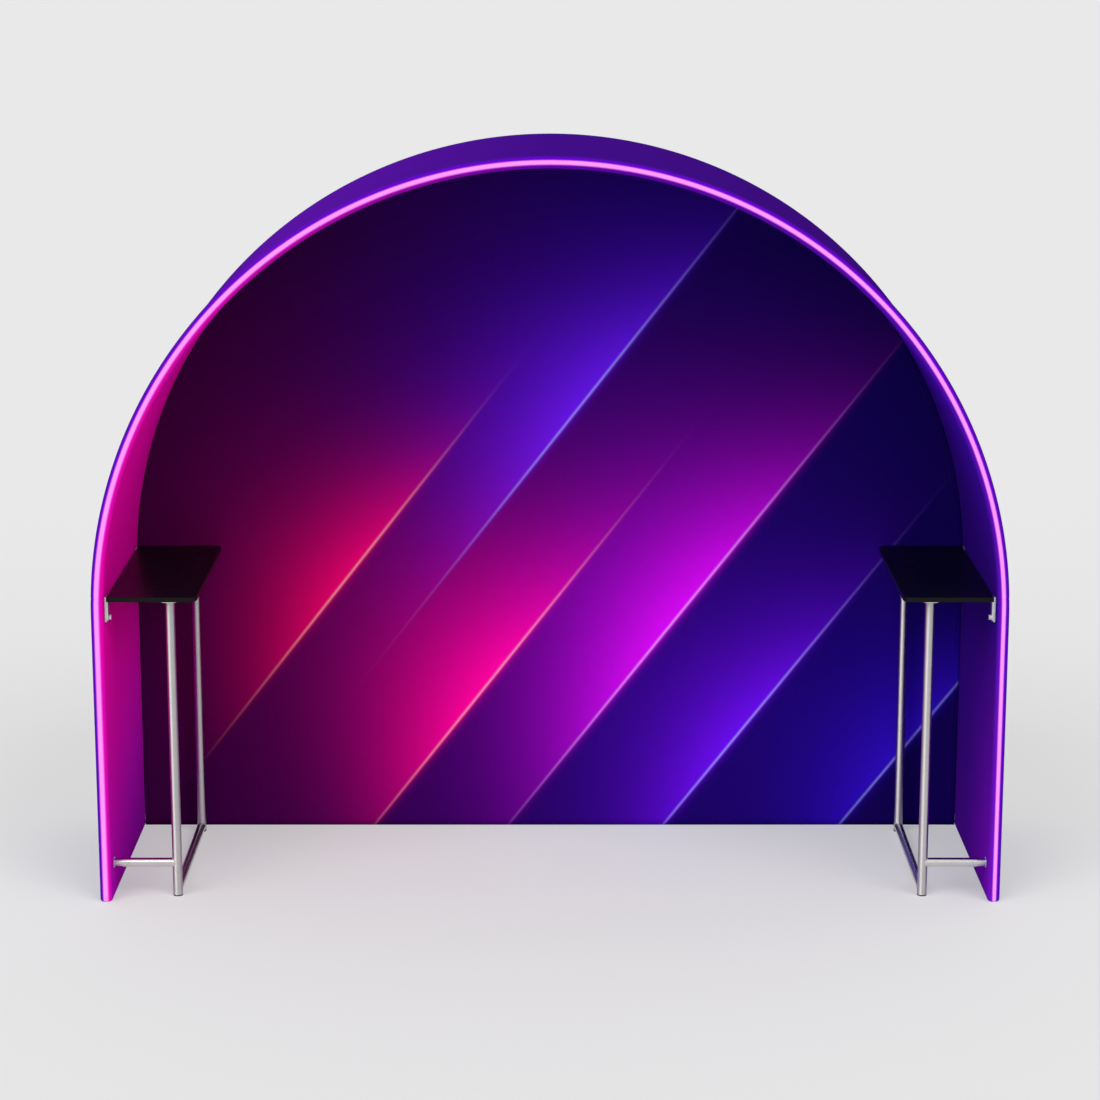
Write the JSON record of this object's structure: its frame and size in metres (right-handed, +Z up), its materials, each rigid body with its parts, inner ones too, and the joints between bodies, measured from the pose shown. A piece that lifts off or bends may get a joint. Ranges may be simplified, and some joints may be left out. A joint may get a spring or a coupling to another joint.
{
  "type": "fabric arch exhibition booth",
  "caption": "Walk-in half-round exhibition booth of printed stretch fabric on a push-fit tube frame, with a fabric back wall and side tables on steel legs.",
  "frame": {"origin": "centre of the booth's outline on the floor", "axes": "+X across the booth to the right seen from its open front, +Y from the open front to the back wall, +Z up"},
  "size_m": [3.0188, 0.8998, 2.475],
  "materials": {
    "frame_tube": "plain drawn tube",
    "black_plastic": "moulded",
    "arch_print": "printed stretch polyester, soft sheen",
    "wall_print": "printed stretch polyester, soft sheen",
    "zip_tape": "woven tape with coil chain",
    "zip_metal": "nickel plated",
    "bright_metal": "polished",
    "satin_steel": "satin stainless tube",
    "black_board": "black laminate on board"
  },
  "bodies": {
    "booth": {"right_front_hoop_leg": "frame_tube", "left_front_hoop_leg": "frame_tube", "right_front_hoop_arc": "frame_tube", "left_front_hoop_arc": "frame_tube", "front_hoop_crown": "frame_tube", "right_rear_hoop_leg": "frame_tube", "left_rear_hoop_leg": "frame_tube", "right_rear_hoop_arc": "frame_tube", "left_rear_hoop_arc": "frame_tube", "rear_hoop_crown": "frame_tube", "right_floor_rail": "frame_tube", "left_floor_rail": "frame_tube", "right_lower_rail": "frame_tube", "left_lower_rail": "frame_tube", "right_table_rail": "frame_tube", "left_table_rail": "frame_tube", "right_arch_spreader": "frame_tube", "crown_arch_spreader": "frame_tube", "left_arch_spreader": "frame_tube", "spreader_stubs": "frame_tube", "right_base_rail": "frame_tube", "left_base_rail": "frame_tube", "tube_spigots": "frame_tube", "rail_stubs": "frame_tube", "foot_plugs": "black_plastic", "leg_glides": "black_plastic", "right_wall_cover": "arch_print", "left_wall_cover": "arch_print", "crown_cover": "arch_print", "back_wall_skin": "wall_print", "right_zip_tape": "zip_tape", "left_zip_tape": "zip_tape", "back_zip_tape": "zip_tape", "eyelets": "bright_metal", "hanger_plates": "bright_metal", "right_table_brackets": "bright_metal", "left_table_brackets": "bright_metal", "rail_inserts": "bright_metal", "table_screws": "bright_metal", "right_leg_frame": "satin_steel", "left_leg_frame": "satin_steel", "right_strut": "satin_steel", "left_strut": "satin_steel", "right_wall_spigot": "satin_steel", "left_wall_spigot": "satin_steel", "leg_flanges": "satin_steel", "right_table_top": "black_board", "left_table_top": "black_board"},
    "right_front_hand_screw": {"right_front_hand_screw": "bright_metal"},
    "left_front_hand_screw": {"left_front_hand_screw": "bright_metal"},
    "right_rear_hand_screw": {"right_rear_hand_screw": "bright_metal"},
    "left_rear_hand_screw": {"left_rear_hand_screw": "bright_metal"},
    "right_snap_button": {"right_snap_button": "bright_metal"},
    "left_snap_button": {"left_snap_button": "bright_metal"},
    "right_zip_slider": {"right_zip_slider": "zip_metal"},
    "left_zip_slider": {"left_zip_slider": "zip_metal"},
    "back_zip_slider": {"back_zip_slider": "zip_metal"},
    "right_zip_pull": {"right_zip_pull": "zip_metal"},
    "left_zip_pull": {"left_zip_pull": "zip_metal"},
    "back_zip_pull": {"back_zip_pull": "zip_metal"}
  },
  "joints": [
    {"name": "right_front_hand_screw_turn", "type": "hinge", "parent": "booth", "child": "right_front_hand_screw", "pos_m": [1.4458, -0.398, 0.966], "axis": [1, 0, 0], "continuous": true},
    {"name": "right_rear_hand_screw_turn", "type": "hinge", "parent": "booth", "child": "right_rear_hand_screw", "pos_m": [1.4458, 0.348, 0.966], "axis": [1, 0, 0], "continuous": true},
    {"name": "right_snap_button_press", "type": "slide", "parent": "booth", "child": "right_snap_button", "axis": [0, 1, 0], "range_m": [0, 0.0052], "stiffness_N_per_m": 600, "springref_m": -0.004},
    {"name": "left_front_hand_screw_turn", "type": "hinge", "parent": "booth", "child": "left_front_hand_screw", "pos_m": [-1.4458, -0.398, 0.966], "axis": [-1, 0, 0], "continuous": true},
    {"name": "left_rear_hand_screw_turn", "type": "hinge", "parent": "booth", "child": "left_rear_hand_screw", "pos_m": [-1.4458, 0.348, 0.966], "axis": [-1, 0, 0], "continuous": true},
    {"name": "left_snap_button_press", "type": "slide", "parent": "booth", "child": "left_snap_button", "axis": [0, 1, 0], "range_m": [0, 0.0052], "stiffness_N_per_m": 600, "springref_m": -0.004},
    {"name": "right_zip_slide", "type": "slide", "parent": "booth", "child": "right_zip_slider", "axis": [0, 0, 1], "range_m": [0, 0.8224]},
    {"name": "right_zip_pull_swing", "type": "hinge", "parent": "right_zip_slider", "child": "right_zip_pull", "pos_m": [1.5071, 0.39, 0.1063], "axis": [0, -1, 0], "range_deg": [0, 150]},
    {"name": "left_zip_slide", "type": "slide", "parent": "booth", "child": "left_zip_slider", "axis": [0, 0, 1], "range_m": [0, 0.8224]},
    {"name": "left_zip_pull_swing", "type": "hinge", "parent": "left_zip_slider", "child": "left_zip_pull", "pos_m": [-1.5071, 0.39, 0.1063], "axis": [0, 1, 0], "range_deg": [0, 150]},
    {"name": "back_zip_slide", "type": "slide", "parent": "booth", "child": "back_zip_slider", "axis": [0, 0, 1], "range_m": [0, 0.8224]},
    {"name": "back_zip_pull_swing", "type": "hinge", "parent": "back_zip_slider", "child": "back_zip_pull", "pos_m": [1.4519, 0.409, 0.1063], "axis": [0, 1, 0], "range_deg": [0, 150]}
  ]
}
